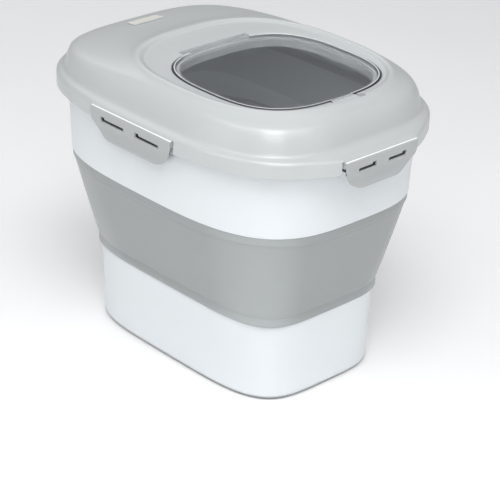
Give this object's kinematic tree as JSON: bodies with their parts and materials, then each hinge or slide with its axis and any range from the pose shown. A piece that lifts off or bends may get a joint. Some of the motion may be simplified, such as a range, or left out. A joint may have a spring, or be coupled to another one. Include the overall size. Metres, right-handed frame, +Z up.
{
  "type": "collapsible pet food bin",
  "caption": "Collapsible pet food bin: rigid tub, folding silicone band, upper ring, domed lid with a clear flip window and side lock latches.",
  "frame": {"origin": "centre of the footprint, on the surface the bin stands on", "axes": "+Z up, Y along the length, -Y is the front where the window's thumb tab is, +X is the right side seen from the front"},
  "size_m": [0.3112, 0.4372, 0.3454],
  "materials": {
    "white_shell": "injection-moulded polypropylene, satin",
    "folding_band": "soft matte silicone or thermoplastic rubber",
    "lid_grey": "injection-moulded plastic, satin light grey",
    "latch_grey": "injection-moulded plastic, satin light grey",
    "clear_window": "clear glossy polystyrene",
    "seal": "translucent silicone",
    "badge": "blank satin label"
  },
  "bodies": {
    "tub": {"base_tub": "white_shell", "silicone_band": "folding_band"},
    "ring": {"upper_ring": "white_shell"},
    "lid": {"lid_shell": "lid_grey", "lid_gasket": "seal", "flap_seal": "seal", "label_badge": "badge"},
    "flap": {"flap_window": "clear_window"},
    "left_latch": {"latch_left": "latch_grey"},
    "right_latch": {"latch_right": "latch_grey"},
    "front_latch": {"latch_front": "latch_grey"},
    "rear_latch": {"latch_rear": "latch_grey"}
  },
  "joints": [
    {"name": "collapse", "type": "slide", "parent": "tub", "child": "ring", "axis": [0, 0, -1], "range_m": [0, 0.205], "deforming": ["silicone_band"]},
    {"name": "lid_lift", "type": "slide", "parent": "ring", "child": "lid", "axis": [0, 0, 1], "range_m": [0, 0.12]},
    {"name": "flap_open", "type": "hinge", "parent": "lid", "child": "flap", "pos_m": [0, 0.0415, 0.34], "axis": [-1, 0, 0], "range_deg": [0, 115]},
    {"name": "latch_left_open", "type": "hinge", "parent": "lid", "child": "left_latch", "pos_m": [-0.153, 0, 0.3004], "axis": [0, 1, 0], "range_deg": [0, 110]},
    {"name": "latch_right_open", "type": "hinge", "parent": "lid", "child": "right_latch", "pos_m": [0.153, 0, 0.3004], "axis": [0, -1, 0], "range_deg": [0, 110]},
    {"name": "latch_front_open", "type": "hinge", "parent": "lid", "child": "front_latch", "pos_m": [0, -0.216, 0.3004], "axis": [-1, 0, 0], "range_deg": [0, 110]},
    {"name": "latch_rear_open", "type": "hinge", "parent": "lid", "child": "rear_latch", "pos_m": [0, 0.216, 0.3004], "axis": [1, 0, 0], "range_deg": [0, 110]}
  ]
}
